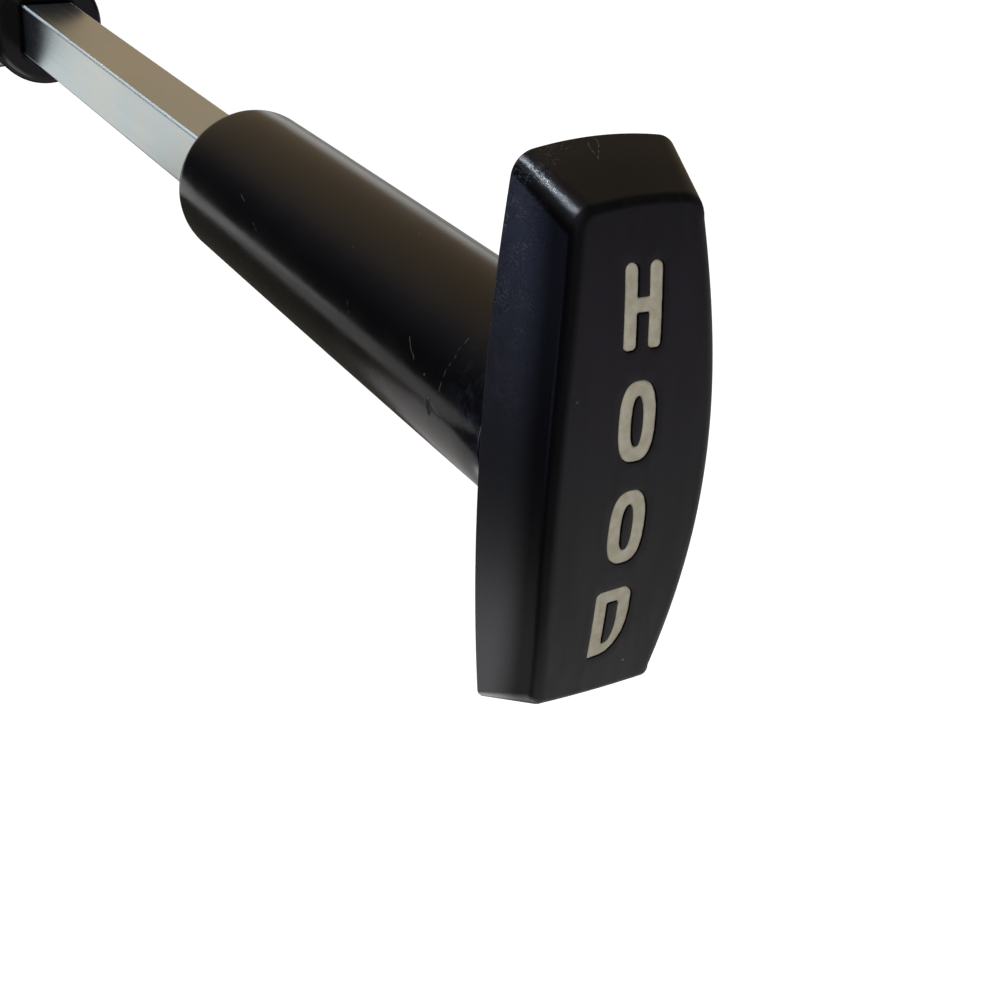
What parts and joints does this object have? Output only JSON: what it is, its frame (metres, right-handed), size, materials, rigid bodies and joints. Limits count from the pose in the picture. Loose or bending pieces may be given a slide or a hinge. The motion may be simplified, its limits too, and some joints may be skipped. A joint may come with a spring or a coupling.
{
  "type": "hood release pull handle",
  "caption": "T-handle on a square zinc-plated rod that slides in a panel-mounted guide, with a ferrule for the release cable's conduit.",
  "frame": {"origin": "on the pull axis, in the plane where the hub's flange seats on the front of the panel", "axes": "+Y along the pull axis, from the driver towards the cable; +Z along the upper half of the handle's head; +X to the driver's right"},
  "size_m": [0.0312, 0.2815, 0.056],
  "materials": {
    "handle_plastic": "fine moulded grain on the head, smooth on the stem",
    "letter_paint": "cream paint in the sunk letters of the head",
    "bushing_plastic": "smooth, moulded",
    "rod_zinc": "zinc plated, drawn bar",
    "tube_steel": "zinc plated, drawn tube",
    "hub_steel": "zinc plated, turned",
    "washer_zinc": "zinc plated, stamped",
    "nut_zinc": "zinc plated",
    "spring_steel": "oil-blackened spring steel",
    "bumper_rubber": "matt",
    "ferrule_zinc": "zinc plated, turned"
  },
  "bodies": {
    "guide": {"panel_hub": "hub_steel", "guide_tube": "tube_steel", "nose_bushing": "bushing_plastic", "bumper_washer": "bumper_rubber", "lock_washer": "washer_zinc", "mounting_nut": "nut_zinc", "conduit_ferrule": "ferrule_zinc"},
    "pull": {"handle": "handle_plastic", "pull_rod": "rod_zinc", "stop_washer": "washer_zinc", "retaining_clip": "spring_steel"}
  },
  "joints": [
    {"name": "handle_pull", "type": "slide", "parent": "guide", "child": "pull", "axis": [0, -1, 0], "range_m": [-0.05, 0.01]}
  ]
}
